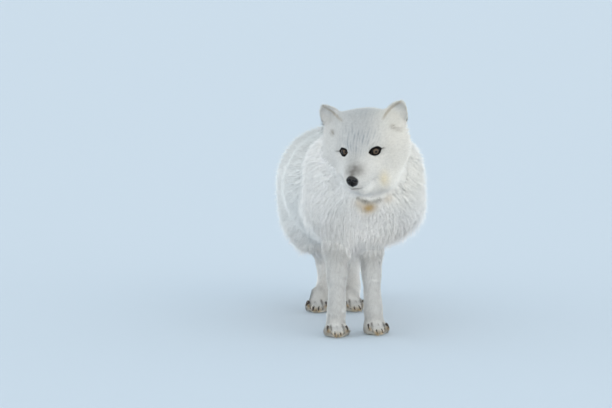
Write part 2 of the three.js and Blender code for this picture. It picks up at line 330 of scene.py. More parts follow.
def largest_shell(mesh):
    """The mesh without any small closed bubbles left inside it."""
    edges = edges_of(mesh)
    label = np.arange(len(mesh.vertices))
    while True:
        low = np.minimum(label[edges[:, 0]], label[edges[:, 1]])
        fresh = label.copy()
        np.minimum.at(fresh, edges[:, 0], low)
        np.minimum.at(fresh, edges[:, 1], low)
        fresh = fresh[fresh]
        if (fresh == label).all():
            break
        label = fresh
    biggest = np.bincount(label).argmax()
    with edited(mesh) as bm:
        strays = [v for v, own in zip(bm.verts, label) if own != biggest]
        bmesh.ops.delete(bm, geom=strays, context="VERTS")
    return mesh


def eye_distance(points):
    return np.min([np.linalg.norm(points - EYES[s], axis=1) for s in SIDES], axis=0) / MM


def near_chin(points):
    """1 on the line under the chin, and 0 well away from it."""
    return 1 - ramp(12, 50, polyline_distance(to_head(points), CHIN_LINE))


def coat_depth(points, regions):
    """How deep the skin lies under the outline, in mm: on the head, more towards its back and cheeks."""
    x, y, z = to_head(points).T
    face = 1.5 + 7.0 * ramp(-60, 15, y) + 8.0 * ramp(36, 66, np.abs(x)) + 5.0 * ramp(-20, -60, z)
    face = mix(1.0, face, ramp(9, 34, eye_distance(points)))
    body = per_region("depth", regions, points) * (1 - 0.5 * near_chin(points))
    return np.where(within(regions, "head"), face, body)


def thickness(mesh, points, normals):
    """How thick the body is under each point, in mm."""
    tree = BVHTree.FromPolygons(points, [tuple(face.vertices) for face in mesh.polygons])
    found = np.full(len(points), 2 * THICKEST / MM)
    starts = points - normals * MM
    for i, (start, normal) in enumerate(zip(starts, normals)):
        hit = tree.ray_cast(Vector(start), Vector(-normal), THICKEST)
        if hit[3] is not None:
            found[i] = hit[3] / MM + 1
    return found


def sunk_outline():
    """The outline, smoothed and sunk by the coat's depth, with the node and the depth at each point."""
    mesh = remeshed_outline()
    edges = edges_of(mesh)
    points = points_of(mesh)
    nodes = nearest_node(points)
    regions = NODE_REGION[nodes]
    ease = averaged(per_region("relax", regions, points), edges, 12)
    muzzle_ease = mix(0.06, ease, ramp(-60, 0, to_head(points)[:, 1]))
    ease = np.where(within(regions, "head"), muzzle_ease, ease)
    points = averaged(points, edges, 60, ease)
    move_points(mesh, points)
    limit = DEEPEST * thickness(mesh, points, normals_of(mesh))
    limit = np.minimum(limit, 0.1 + 0.5 * np.maximum(points[:, 2], 0) / MM)
    depth = averaged(np.minimum(coat_depth(points, regions), limit), edges, 8)
    depth = averaged(depth, edges, 60, np.clip(1.5 * ease, 0, 1))
    for _ in range(SINK_STEPS):
        points = points - normals_of(mesh) * (depth * MM / SINK_STEPS)[:, None]
        points = averaged(points, edges, 1, 0.25 * ease)
        move_points(mesh, points)
    return mesh, nodes, depth


def thinned(mesh, plain):
    """The mesh with fewer faces where plain is 1."""
    made = new_object("skin", mesh)
    group = made.vertex_groups.new(name="plain")
    group.add(np.flatnonzero(plain).tolist(), 1.0, "REPLACE")
    return modified(made, "DECIMATE", ratio=PLAIN_SHARE, vertex_group="plain")


def refined(mesh, wanted):
    """The mesh with every edge halved whose ends both pass the test on their places."""
    chosen = wanted(points_of(mesh))
    with edited(mesh) as bm:
        edges = [e for e in bm.edges if all(chosen[v.index] for v in e.verts)]
        bmesh.ops.subdivide_edges(bm, edges=edges, cuts=1, use_grid_fill=True, smooth=0.6)
    return mesh


# ---- Eyelids and mouth ----

# The opening of the lids: half its width and its reach up and down, in mm, the way it faces on the
# left, and how many degrees its outer corner is raised.
LIDS = {"half_width": 8.7, "up": 5.0, "down": 4.6, "bulge": 2.0, "axis": (0.5, -0.84, 0.2)}
SLANT = {"left": 9.0, "right": 3.0}
# The pointed patch of bare dark skin round the opening: its middle is this far outward, it ends this far
# behind the eye's middle, and a line this long and with this drop runs back from its outer corner.
RIM = {"half_width": 12.3, "up": 7.9, "down": 7.2, "bulge": 2.5, "outward": 0.5, "behind": -8.0}
RIM_LINE = (13.0, -1.0)
WELL_OUTSIDE = 30.0  # how far outside an eye the places behind it count as, in mm
CHIN_LINE = [(-13, -49, -74), (-2, -48, -81), (8, -45, -85), (21, -38, -84)]
MOUTH = [(0, -90, -34), (6, -88, -35.5), (12, -80, -36.5), (18, -66, -36), (23, -53, -33), (26, -45, -29)]


def lid_axes(side):
    """The opening's outward, upward and forward directions, in the fox's frame."""
    forward = unit(np.array(LIDS["axis"]) * (SIDES[side], 1, 1)) @ HEAD_AXES
    outward = in_plane(SIDES[side] * HEAD_AXES[0], forward)
    upward = in_plane(in_plane(HEAD_AXES[2], forward), outward)
    slant = math.radians(SLANT[side])
    return np.array([turned(outward, upward, slant), turned(upward, -outward, slant), forward])


def outside_of(shape, u, v):
    """How far outside the almond of LIDS or RIM these places are, in mm."""
    half = shape["half_width"]
    edge = np.where(v > 0, shape["up"], shape["down"])
    edge = edge * np.maximum(1 - np.abs(u / half) ** shape["bulge"], 0)
    return np.where(np.abs(u) < half, np.abs(v) - edge, np.hypot(np.abs(u) - half, v))


def eye_places(points, side):
    """Upward from the eye's middle on its ball, the distance from its centre, and how far outside the
    opening of the lids this is, all in mm."""
    away = (points - EYES[side]) / MM
    reach = np.maximum(np.linalg.norm(away, axis=1), 1e-6)
    u, v, s = lid_axes(side) @ away.T * (EYE_RADIUS / MM / reach)
    return v, reach, np.where(s > 0, outside_of(LIDS, u, v), WELL_OUTSIDE)


def rim_places(points, side):
    """Outward and upward from the middle of the rim, as seen from in front of the eye, and how far
    outside the rim this is, in mm."""
    u, v, s = lid_axes(side) @ (points - EYES[side]).T / MM
    u = u - RIM["outward"]
    return u, v, np.where(s > RIM["behind"], outside_of(RIM, u, v), WELL_OUTSIDE)


def rim_distance(points):
    return np.minimum(*(rim_places(points, side)[2] for side in SIDES))


def lid_distance(points):
    """Distance outside the nearer eye's opening, in mm, and negative within it."""
    found = 2 * WELL_OUTSIDE
    for side in SIDES:
        _, reach, outside = eye_places(points, side)
        found = np.minimum(found, np.maximum(outside, reach - 16))
    return found


def shape_lids(points):
    """The skin's points drawn to a thin lid round each eye, and behind the ball within its opening."""
    ball = EYE_RADIUS / MM
    for side in SIDES:
        v, reach, outside = eye_places(points, side)
        rim = ball + 1.0 + 0.35 * ramp(0, 2, outside)
        crease = 0.5 * np.exp(-(((outside - 4.2) / 0.9) ** 2)) * (v > 0)
        around = mix(rim - crease, np.maximum(reach, rim - crease), ramp(2.0, 8.0, outside))
        wanted = mix(ball - 1.6, around, ramp(-0.5, 0.15, outside))
        share = 1 - ramp(15, 19, reach)
        points = points + (points - EYES[side]) * ((wanted - reach) * share / reach)[:, None]
    return points


def polyline_distance(places, line):
    found = 1e3
    for start, end in zip(line, line[1:]):
        start, along = np.array(start, float), np.subtract(end, start).astype(float)
        t = np.clip((places - start) @ along / (along @ along), 0, 1)
        found = np.minimum(found, np.linalg.norm(places - start - t[:, None] * along, axis=1))
    return found


def mouth_distance(points):
    places = to_head(points)
    places[:, 0] = np.abs(places[:, 0])
    return polyline_distance(places, MOUTH)


def nose_distance(points):
    """How far outside the nose pad, in mm."""
    away = to_head(points) - NOSE_AT
    return (np.linalg.norm(away / NOSE_SIZE, axis=1) - 1) * NOSE_SIZE.mean()


def make_skin():
    mesh, nodes, depth = sunk_outline()
    regions = NODE_REGION[nodes]
    old = points_of(mesh)
    detailed = within(regions, "head", "ear", "paw").astype(float)
    fine = thinned(mesh, averaged(detailed, edges_of(mesh), 3) <= 0.01)
    fine = refined(fine, lambda p: (eye_distance(p) < 18) | (mouth_distance(p) < 6))
    fine = refined(fine, lambda p: lid_distance(p) < 5)
    fine = refined(fine, lambda p: np.abs(lid_distance(p)) < 1.6)
    points = points_of(fine)
    nearest = nearest_among(old, points)
    edges = edges_of(fine)
    depth = averaged(depth[nearest], edges, 2)
    points = shape_lids(points)
    move_points(fine, points)
    groove = 2.0 * np.exp(-((mouth_distance(points) / 1.6) ** 2))
    groove *= 1 - 0.7 * ramp(6, 20, np.abs(to_head(points)[:, 0]))
    points = points - normals_of(fine) * (groove * MM)[:, None]
    move_points(fine, points)
    return fine, nodes[nearest], depth


# ---- Markings, with painted light and shade ----

WHITE = np.array([0.945, 0.95, 0.93])
BLACK = (0, 0, 0)
EYE_SKIN = (0.006, 0.005, 0.004)
MUZZLE_GREY = (0.19, 0.175, 0.16)
STREAK = (0.40, 0.43, 0.46)
LIP = (0.05, 0.048, 0.048)
OCHRE = (0.54, 0.35, 0.11)
STRAW = (0.84, 0.73, 0.48)
CHIN_SHADOW_AND_DIRT = (0.17, 0.16, 0.13)
EAR_RIM = (0.40, 0.33, 0.23)
EAR_HOLLOW_SHADE_AND_HAIR = (0.21, 0.165, 0.11)
PAW_BEIGE = (0.58, 0.51, 0.37)
JAW_PAINTED_LIGHT = (0.97, 0.955, 0.90)
TOE_CLEFT_SHADE = (0.10, 0.085, 0.07)


def ripple(points, size, seed, waves=10):
    """Soft random unevenness between about -1 and 1, with features of about this size in metres."""
    draw = np.random.default_rng(seed)
    total = 0
    for direction in unit(draw.normal(size=(waves, 3))):
        stretch = draw.uniform(0.7, 1.5)
        total = total + np.sin(points @ direction * (2 * math.pi * stretch / size) + draw.uniform(0, 7))
    return total / math.sqrt(waves)


def spot(places, at, size):
    """1 in the middle of a soft oval spot and 0 well outside it."""
    return np.exp(-np.sum(((places - np.array(at, float)) / np.array(size, float)) ** 2, axis=1))


def tinted(colours, *layers):
    """The colours under layers, each a tint and how much of it every place takes."""
    for tint, share in layers:
        colours = colours + (tint - colours) * np.clip(share, 0, 1)[:, None]
    return colours


def eye_marks(points):
    """How dark the rims of the lids, and the lines behind them, make each place."""
    marks = 0
    for side in SIDES:
        u, v, outside = rim_places(points, side)
        corner = RIM["half_width"] - 2.5
        far, drop = RIM_LINE
        line = polyline_distance(np.stack([u, v], axis=1), [(corner, 0), (corner + far, drop)])
        fade = 0.65 * (1 - ramp(corner, corner + far, u)) * (outside < 25)
        marks = np.maximum(marks, fade * (1 - ramp(0.4, 2.0, line)))
        marks = np.maximum(marks, 1 - ramp(-0.4, 0.7, outside))
    return marks


BACK_PAINTED_SHADE, SHORT_HAIR_PAINTED_SHADE, PAW_PAINTED_SHADE = 0.18, 0.22, 0.07  # painted shade: how much darker the top of the back, the short hair and the paws are painted
FAR_COOL_SHADE = np.array([0.94, 0.965, 0.98])  # painted cool shade on the trunk behind the forelegs
PAINTED_WARM_LIGHT = WHITE * (1.0, 0.97, 0.9)  # painted warm light, on the ruff and head on the fox's left
EAR_WHITE = WHITE * (0.90, 0.88, 0.84)

# The streaks of the forehead, in two sets of bands: how far apart they are in mm, how much they sway,
# the seed of the swaying, and the middle and height of their wave. They spread with height.
STREAKS = [(4.0, 1.6, 5, 0.5, 0.5), (6.7, 1.8, 15, 0.6, 0.4)]
STREAK_SPREAD = 0.016

# Soft oval spots in the head's frame: how strong each is, and its middle and size in mm. The first make
# up the grey bridge of the muzzle; the others are painted light under the jaw, a faint painted shade over
# the cheek and brow on the fox's left, and stains on the jaw, cheek and throat.
BRIDGE = [
    (1.0, (3, -82, -4), (21, 12, 11)),
    (0.3, (-3, -60, 7), (12, 18, 11)),
    (0.55, (-1, -91, -8), (6, 6, 6)),
]
STAINS_AND_PAINTED_LIGHT = [
    # painted light under the jaw, where shade falls
    (JAW_PAINTED_LIGHT, 0.85, (20, -60, -60), (28, 28, 16)),
    # faint painted shade over the cheek and brow on the fox's left
    (BLACK, 0.08, (46, -28, -8), (24, 30, 34)),
    (OCHRE, 1.0, (2, -47, -96), (12, 18, 9)),
    (OCHRE, 0.35, (34, -28, -90), (9, 14, 7)),
    (OCHRE, 0.35, (-13, -50, -84), (8, 14, 8)),
    (STRAW, 0.65, (38, -44, -43), (8, 11, 13)),
]
SHADOW_WAY = unit((0.2, -0.9, 0.35))  # the painted shadow under the chin, partly dirt on the fur, is a curtain that runs this way

# On each side of the head: the darker line up the inner edge of the ear, from the tip to the forehead,
# the dark in its hollow, partly brownish hair and partly painted shade, and how strong that is.
EARS = {
    1: (
        [(68, 29, 64), (54, 27, 57), (46, 25, 51), (42, 17, 48), (41, 4, 47)],
        [(57, 2, 34), (63, 2, 30), (71, 8, 24)],
        1.35,
    ),
    -1: (
        [(-68, 31, 64), (-55, 28, 55), (-47, 26, 47), (-38, 8, 50), (-30, -1, 50)],
        [(-49, -8, 31), (-58, -2, 34)],
        0.75,
    ),
}


def coat_colour(points, regions):
    """The coat's markings at places on the skin, with painted light and shade."""
    back, height = points[:, 1:].T
    places = to_head(points)
    x, y, z = places.T
    face, ear, paw = (within(regions, name) for name in ("head", "ear", "paw"))
    short = within(regions, "head", "leg", "ear") * (1 - ramp(-0.05, 0.03, back))
    tone = 1 + 0.02 * ripple(points, 0.06, 3) + 0.012 * ripple(points, 0.014, 4)
    # painted shade on the top of the back
    tone *= 1 - BACK_PAINTED_SHADE * ramp(0.24, 0.34, height) * ramp(-0.12, -0.02, back)
    # painted shade: short hair at the front darker, to even it with the long coat's own shade; under the
    # jaw it is left out, which paints light there
    tone *= 1 - SHORT_HAIR_PAINTED_SHADE * short * (1 - ramp(-28, -48, z) * face)
    # painted cool shade: the trunk behind the forelegs bluer and darker
    far = ramp(-0.14, -0.06, back) * ramp(0.10, 0.18, height)
    colours = WHITE * tone[:, None] * mix(1.0, FAR_COOL_SHADE, far[:, None])

    near_head = ramp(-140, -90, z) * (1 - ramp(60, 110, y))
    up = ramp(4, 22, z) * (1 - ramp(14, 56, y)) * (1 - ramp(8, 52, np.abs(x)))
    spread = 2 * math.pi * x / (1 + STREAK_SPREAD * np.maximum(z - 8, 0))
    bands = np.clip(0.8 + 0.5 * ripple(points, 0.02, 9), 0, 1.3) * (1 - 0.75 * ramp(32, 46, z))
    for apart, sway, seed, level, swing in STREAKS:
        bands *= level + swing * np.sin(spread / apart + sway * ripple(points, 0.04, seed))
    bridge = sum(share * spot(places, at, size) for share, at, size in BRIDGE)
    lips = np.exp(-((mouth_distance(points) / 2.1) ** 2)) * (1 - 0.85 * ramp(6, 15, np.abs(x)))
    line = np.array(CHIN_LINE, float)
    seen = [at - np.outer(at @ SHADOW_WAY, SHADOW_WAY) for at in (places, line)]
    chin = (1 - ramp(0.9, 5.0, polyline_distance(*seen))) * near_chin(points)
    layers = [
        # painted warm light on the fox's left
        (PAINTED_WARM_LIGHT, 0.5 * near_head * ramp(0, 60, x)),
        (STREAK, face * up * (0.33 + 0.60 * bands)),
        (MUZZLE_GREY, 0.86 * bridge * (0.9 + 0.1 * ripple(points, 0.008, 6))),
        (EYE_SKIN, face * eye_marks(points)),
        (LIP, 0.9 * face * lips),
        (LIP, face * (1 - ramp(0.4, 1.6, nose_distance(points)))),
        # stains, with painted light under the jaw and painted shade on the fox's left
        *((tint, share * spot(places, at, size)) for tint, share, at, size in STAINS_AND_PAINTED_LIGHT),
        # painted shadow under the chin, partly dirt
        (CHIN_SHADOW_AND_DIRT, 0.74 * chin * (0.85 + 0.2 * ripple(points, 0.012, 12))),
    ]
    for sign, (edge, hollow, strength) in EARS.items():
        deep = strength * (1 - ramp(0.5, 8.5, polyline_distance(places, hollow)))
        rim = (1 - ramp(1.0, 4.0, polyline_distance(places, edge))) * (1 - ramp(36, 40, y))
        layers += [
            # the ear's hollow: partly brownish hair, partly painted shade
            (EAR_HOLLOW_SHADE_AND_HAIR, deep * (0.75 + 0.3 * ripple(points, 0.006, 13))),
            (EAR_WHITE, 0.5 * ear * ramp(26, 17, y) * ramp(20, 32, z) * (sign * x > 0)),
            (EAR_RIM, 0.58 * rim),
        ]
    colours = tinted(colours, *layers)
    colours[paw] = paw_colour(colours[paw], points[paw])
    return np.clip(colours, 0.005, 0.97)


def claw_rows():
    """For each paw, the middle and tip in mm of each claw in turn, from one side to the other."""
    rows = {}
    for node in CLAWS:
        low, high = np.array(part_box(node)) / MM
        claw = (low + high) / 2, np.array([(low[0] + high[0]) / 2, low[1], low[2]])
        rows.setdefault(node.rsplit("_", 1)[0], []).append(claw)
    return [sorted(row, key=lambda claw: claw[0][0]) for row in rows.values()]


CLAW_ROWS = claw_rows()
CLAW_STAIN = (4.5, 8.0, 4.5)  # the size of the ochre spot at each claw's tip, in mm
CLEFT = np.array([(0, -4, -8), (0, 6, 3), (0, 14, 9)])  # up between two toes, from between their claws


def paw_colour(colours, points):
    """Paws: a little darker all over as painted shade, beige round the soles, ochre fur at the claws, and
    painted shade in the clefts between the toes.
    """
    places = points / MM
    low = 1 - ramp(2, 16, places[:, 2])
    layers = [(PAW_BEIGE, 0.62 * low * (0.8 + 0.3 * ripple(points, 0.01, 8)))]
    for row in CLAW_ROWS:
        layers += [(OCHRE, 0.8 * spot(places, mix(claw, tip, 0.85), CLAW_STAIN)) for claw, tip in row]
        # painted shade in the cleft between two toes
        for (one, _), (other, _) in zip(row, row[1:]):
            cleft = polyline_distance(places, CLEFT + (one + other) / 2)
            layers.append((TOE_CLEFT_SHADE, 0.75 * (1 - ramp(0.6, 3.4, cleft))))
    # the whole paw painted a little darker, as painted shade
    return tinted((1 - PAW_PAINTED_SHADE) * colours, *layers)


# ---- The lie of the coat ----

TAIL_LINE = [middle("rump"), middle("tail_base"), middle("tail_middle"), middle("tail_tip")]


def lie_of_coat(points, regions):
    """Which way the hair runs at each point, before it is laid onto the skin."""
    places = to_head(points)
    x = places[:, 0]
    front = (1 - ramp(-0.15, -0.05, points[:, 1]))[:, None]
    lie = mix(np.array([0, 1, -0.4]), np.array([0, 0.15, -1]), front)

    from_nose = unit(places - (0, -100, -14))
    cheek = ramp(34, 56, np.abs(x))[:, None] * (np.sign(x)[:, None] * (0.5, 0, 0) - (0, 0, 0.5))
    up_ear = np.sign(x)[:, None] * (0.53, 0, 0) + (0, 0.19, 0.82)
    middles = np.array(TAIL_LINE)
    gap = np.linalg.norm(points[:, None] - (middles[1:] + middles[:-1])[None] / 2, axis=2)
    ways = {
        "neck": unit(points - from_head((0, -20, -10))) + (0, 0.45, -0.55),
        "head": (from_nose + cheek) @ HEAD_AXES,
        "ear": up_ear @ HEAD_AXES,
        "leg": (0, 0.12, -1),
        "paw": (0, -1, -0.35),
        "tail": (1 / np.maximum(gap, MM) ** 2) @ unit(np.diff(middles, axis=0)),
    }
    for name, way in ways.items():
        lie = np.where(within(regions, name)[:, None], way, lie)
    return unit(lie)


# ---- Coat ----

# How many tufts each piece of the coat has, and which nodes it covers.
PIECES = {
    "coat_head_left": (17500, "head"),
    "coat_head_right": (17500, "head"),
    "coat_ears": (9500, "ear"),
    "coat_neck": (17000, "neck"),
    "coat_chest": (14500, "chest"),
    "coat_barrel": (19000, "barrel"),
    "coat_rump": (14500, "rump"),
    "coat_tail": (13000, "tail"),
    "coat_forelegs": (10000, "foreleg"),
    "coat_hindlegs": (8500, "hindleg"),
    "coat_paws": (8500, "paw"),
}
TUFT_FLATNESS = 0.26  # how thick a tuft is for its width
GUARD_SHARE = 0.16  # of the tufts are thin guard hairs, which stand out beyond the rest
# How tufts vary in each of these, from and to, and how guard hairs compare.
VARIETY = {"length": (0.72, 1.12, 1.16), "depth": (0.86, 1.03, 1.1), "width": (0.75, 1.2, 0.55)}
TURN = 0.13  # how far tufts turn off the lie of the coat, in radians
LOCK = 22  # tufts to a lock
# Hair on the underside hangs, and so faces outward more than down. How much it still faces down, on the
# head and elsewhere, and how much it faces back to its root, on the tail and elsewhere.
DOWNWARD = (0.05, 0.35)
ROOTWARD = (-0.9, 0.7)
FLOOR_GAP = 0.8 * MM  # no tuft's middle line comes nearer to the floor
INNER_EAR = 13.0  # how long the hair inside the ears is, in mm
PATCH = 0.003  # across each tuft's patch of the bake map
TONES = np.array([0.95, 0.98, 1.02])  # at the root, half way and at the tip
LEVELS = [0, 0, 0, 1, 1, 1, 2]  # which of these three each corner of a tuft is at

# A tuft's corners: three at the root, three half way, and the tip. Its faces, and where each corner
# of each face lies in the tuft's own patch of the bake map, which holds its three sides in a row.
TUFT_FACES = [[0, 1, 2]]
TUFT_PATCH = [[(0, 1), (0, 0.88), (0.11, 1)]]
for i in range(3):
    j, left, right = (i + 1) % 3, i / 3, (i + 1) / 3
    TUFT_FACES += [[i, j + 3, j], [i, i + 3, j + 3], [i + 3, 6, j + 3]]
    TUFT_PATCH += [
        [(left, 0), (right, 0.5), (right, 0)],
        [(left, 0), (left, 0.5), (right, 0.5)],
        [(left, 0.5), ((left + right) / 2, 1), (right, 0.5)],
    ]
TUFT_FACES, TUFT_PATCH = np.array(TUFT_FACES), np.array(TUFT_PATCH)
UNDERSIDE = [1, 2, 3]  # the faces between the first two of each ring's corners


def piece_of_points(points, nodes):
    """For each point, the number of its piece of the coat: on the head, one of two."""
    ends = []
    for node in NODES:
        kind = region_of(node) if region_of(node) in ("head", "paw") else node
        found = [i for i, (_, start) in enumerate(PIECES.values()) if kind.startswith(start)]
        ends.append((found[0], found[-1]))
    left = to_head(points)[:, 0] > 0
    first, last = np.array(ends)[nodes].T
    return np.where(left, first, last)


def coat_fields(points, normals, nodes, depth, edges):
    """What the tufts need to know at each point of the skin."""
    regions = NODE_REGION[nodes]
    head = within(regions, "head")
    rims, nose, mouth = rim_distance(points), nose_distance(points), mouth_distance(points)
    length = per_region("length", regions, points)
    length = np.where(head, 2.8 + 1.3 * depth, length * (1 - 0.72 * near_chin(points)))
    length *= 1 - 0.35 * within(regions, "leg") * (1 - ramp(0.035, 0.095, points[:, 2]))
    inner_ear = within(regions, "ear") & (normals @ -HEAD_AXES[1] > 0.3)
    length = np.where(inner_ear, INNER_EAR, length)
    from_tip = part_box("tail_tip")[1][1] - points[:, 1]
    length *= 1 - 0.5 * within(regions, "tail") * ramp(0.08, 0, from_tip)
    length = averaged(np.minimum(length, 8 + 2.1 * depth), edges, 8)
    length = np.where(head, mix(1.8, length, ramp(0, 8, rims)), length)
    for away, longest, near, far in ((nose, 3.0, 0.5, 8.0), (mouth, 3.5, 1.0, 7.0)):
        length = mix(np.minimum(length, longest), length, ramp(near, far, away))
    width = np.where(head, 0.7 + 0.03 * depth, per_region("width", regions, points))
    lips = (mouth < 0.9) & (np.abs(to_head(points)[:, 0]) < 12)
    sole = (points[:, 2] < 2.5 * MM) & (normals[:, 2] < -0.5)
    bald = (rims < 0.2) | (nose < 0.6) | lips | sole
    soft = unit(averaged(normals, edges, 12, np.clip(length / 20, 0, 1)))
    lie = in_plane(lie_of_coat(points, regions), soft)
    lie = in_plane(averaged(lie, edges, 25), soft)
    return {
        "point": points,
        "normal": soft,
        "lie": lie,
        "depth": depth,
        "length": length,
        "width": averaged(width, edges, 8),
        "clump": averaged(per_region("clump", regions, points), edges, 8),
        "regions": regions,
        "grows": 1.0 - bald,
    }


def unwrapped(points, triangles):
    """The bake map's place of every corner of these triangles of the skin."""
    used, corners = np.unique(triangles, return_inverse=True)
    mesh = new_mesh("patch", points[used], corners.reshape(-1, 3).tolist())
    made = new_object("patch", mesh)
    bpy.context.view_layer.objects.active = made
    made.select_set(True)
    bpy.ops.object.mode_set(mode="EDIT")
    bpy.ops.mesh.select_all(action="SELECT")
    bpy.ops.uv.smart_project(angle_limit=math.radians(70), island_margin=0.002)
    bpy.ops.object.mode_set(mode="OBJECT")
    found = read(mesh.uv_layers.active.data, "uv", 2)
    bpy.data.objects.remove(made)
    bpy.data.meshes.remove(mesh)
    return found.reshape(-1, 3, 2).astype(float)


def grow(name, count, fields, triangles, maps):
    """One piece of the coat: closed tufts rooted on these triangles of the skin."""
    corners = fields["point"][triangles]
    area = np.linalg.norm(np.cross(corners[:, 1] - corners[:, 0], corners[:, 2] - corners[:, 0]), axis=1)
    size = (fields["length"] * fields["width"])[triangles].mean(axis=1)
    weight = area * fields["grows"][triangles].min(axis=1) / size**0.5
    total = np.cumsum(weight)
    picks = (np.arange(count) + RNG.random(count)) * total[-1] / count
    chosen = np.minimum(np.searchsorted(total, picks), len(triangles) - 1)
    a, b = np.sqrt(RNG.random(count)), RNG.random(count)
    shares = np.stack([1 - a, a * (1 - b), a * b], axis=1)

    def at_root(key):
        values = fields[key][triangles[chosen]]
        return np.einsum("ij,ij...->i...", shares, values)

    normal = unit(at_root("normal"))
    lie = in_plane(at_root("lie"), normal)
    regions = fields["regions"][triangles[chosen, 0]]
    down = np.where(within(regions, "head"), *DOWNWARD)[:, None]
    back = np.where(within(regions, "tail"), *ROOTWARD)[:, None]
    hanging = normal * np.where(normal[:, 2:] < 0, down * (0, 0, 1) + (1, 1, 0), 1)
    hanging = unit(hanging - back * lie * ramp(0, -0.9, normal[:, 2:]))
    turn = RNG.normal(0, TURN, count)[:, None]
    lie = turned(lie, np.cross(normal, lie), turn)
    guard = RNG.random(count) < GUARD_SHARE
    length, height, width = (
        at_root(key) * MM * RNG.uniform(low, high, count) * np.where(guard, share, 1)
        for key, (low, high, share) in VARIETY.items()
    )
    height = np.minimum(height + 0.4 * MM, 0.8 * length)
    reach = np.sqrt(length**2 - height**2)
    root = at_root("point") - normal * 0.5 * MM
    half_way = root + normal * (0.72 * height)[:, None] + lie * (0.4 * reach)[:, None]
    tip = root + normal * height[:, None] + lie * reach[:, None]

    locks = RNG.choice(count, max(count // LOCK, 1), replace=False)
    leader = locks[nearest_among(root[locks], root)]
    share = (at_root("clump") * RNG.uniform(0.3, 1.0, count))[:, None]
    beside = root - root[leader]
    tip = mix(tip, tip[leader] + 0.25 * beside, share)
    half_way = mix(half_way, half_way[leader] + 0.75 * beside, 0.5 * share)

    for centre in (half_way, tip):
        centre[:, 2] = np.maximum(centre[:, 2], FLOOR_GAP)
    along = unit(tip - root)
    side = unit(np.cross(along, normal))
    over = np.cross(side, along)
    rings = []
    for centre, scale in ((root, 0.7), (half_way, 1.0)):
        half = (0.5 * scale * width)[:, None]
        rings += [centre - side * half, centre + side * half, centre + over * (2 * TUFT_FLATNESS) * half]
    vertices = np.stack([*rings, tip], axis=1)
    vertices[:, :, 2] = np.maximum(vertices[:, :, 2], 0)
    # A tuft is lit nearly as the coat is, and only a little by its own sides, so that it looks soft.
    outward = np.stack([-side, side, over] * 2 + [over], axis=1)
    shading = unit(0.13 * outward + 0.9 * hanging[:, None] + 0.13 * over[:, None])[:, TUFT_FACES]
    shading[:, UNDERSIDE] = unit(0.9 * hanging - 0.7 * over)[:, None, None]

    own_tone = 1 + 0.025 * RNG.normal(size=(count, 1, 1))
    stations = (mix(root, tip, 0.25), half_way, mix(half_way, tip, 0.85))
    colours = np.stack([coat_colour(at, regions) for at in stations], axis=1)
    colours = np.clip(colours * own_tone * TONES[:, None], 0.003, 0.97)[:, LEVELS]

    place = np.einsum("ij,ijk->ik", shares, maps[chosen])
    patches = place[:, None, None] + (TUFT_PATCH[None] - 0.5) * PATCH
    return new_tufts(name, vertices, shading, colours, patches)


def new_tufts(name, vertices, shading, colours, patches):
    """The mesh of tufts with these corners, normals, colours and places in the bake map."""
    count, corners = vertices.shape[:2]
    faces = (TUFT_FACES + corners * np.arange(count)[:, None, None]).ravel()
    mesh = bpy.data.meshes.new(name)
    mesh.vertices.add(count * corners)
    mesh.vertices.foreach_set("co", vertices.astype(np.float32).ravel())
    mesh.loops.add(len(faces))
    mesh.loops.foreach_set("vertex_index", faces.astype(np.int32))
    mesh.polygons.add(len(faces) // 3)
    mesh.polygons.foreach_set("loop_start", np.arange(0, len(faces), 3, dtype=np.int32))
    mesh.update(calc_edges=True)
    mesh.shade_smooth()
    layer = mesh.uv_layers.new(name="OFBake")
    layer.data.foreach_set("uv", patches.astype(np.float32).ravel())
    write_colours(mesh, "coat", colours.reshape(-1, 3))
    mesh.normals_split_custom_set(shading.reshape(-1, 3).tolist())
    return mesh


def grow_coat(mesh, nodes, depth):
    points = points_of(mesh)
    fields = coat_fields(points, normals_of(mesh), nodes, depth, edges_of(mesh))
    triangles = triangles_of(mesh)
    piece = piece_of_points(points, nodes)[triangles[:, 0]]
    for index, (name, (count, _)) in enumerate(PIECES.items()):
        own = triangles[piece == index]
        tufts = grow(name, count, fields, own, unwrapped(points, own))
        finish_piece(name, tufts, "fur", "paw" if name == "coat_paws" else "coat")
    write_colours(mesh, "coat", coat_colour(points, fields["regions"]))


# ---- Materials ----


def feed(node, inputs):
    """Gives each of these inputs of a node its value, or links it to the output that it is given."""
    for socket, value in inputs.items():
        if isinstance(value, bpy.types.NodeSocket):
            node.id_data.links.new(value, node.inputs[socket])
        else:
            node.inputs[socket].default_value = value


def new_material(name, **inputs):
    """A material and its shader."""
    material = bpy.data.materials.new(name)
    material.use_nodes = True
    shader = material.node_tree.nodes["Principled BSDF"]
    feed(shader, {socket.replace("_", " "): value for socket, value in inputs.items()})
    return material, shader


def add_node(tree, kind, inputs=None, **settings):
    node = tree.nodes.new(kind)
    for key, value in settings.items():
        setattr(node, key, value)
    feed(node, inputs or {})
    return node


def grained(shader, attribute, scale, low, high):
    """Colours the shader by a mesh's colours, made uneven by a fine grain. Gives the place and grain."""
    tree = shader.id_data
    colour = add_node(tree, "ShaderNodeAttribute", attribute_name=attribute).outputs["Color"]
    place = add_node(tree, "ShaderNodeTexCoord").outputs["Object"]
    noise = add_node(tree, "ShaderNodeTexNoise", {"Vector": place, "Scale": scale, "Detail": 3.0})
    grain = noise.outputs["Fac"]
    spread = {"Value": grain, "From Min": 0.3, "From Max": 0.7, "To Min": low, "To Max": high}
    share = add_node(tree, "ShaderNodeMapRange", spread).outputs["Result"]
    product = add_node(tree, "ShaderNodeVectorMath", {0: colour, 1: share}, operation="MULTIPLY")
    feed(shader, {"Base Color": product.outputs["Vector"]})
    return place, grain


def bump(shader, height, strength, distance):
    inputs = {"Height": height, "Strength": strength, "Distance": distance}
    feed(shader, {"Normal": add_node(shader.id_data, "ShaderNodeBump", inputs).outputs["Normal"]})


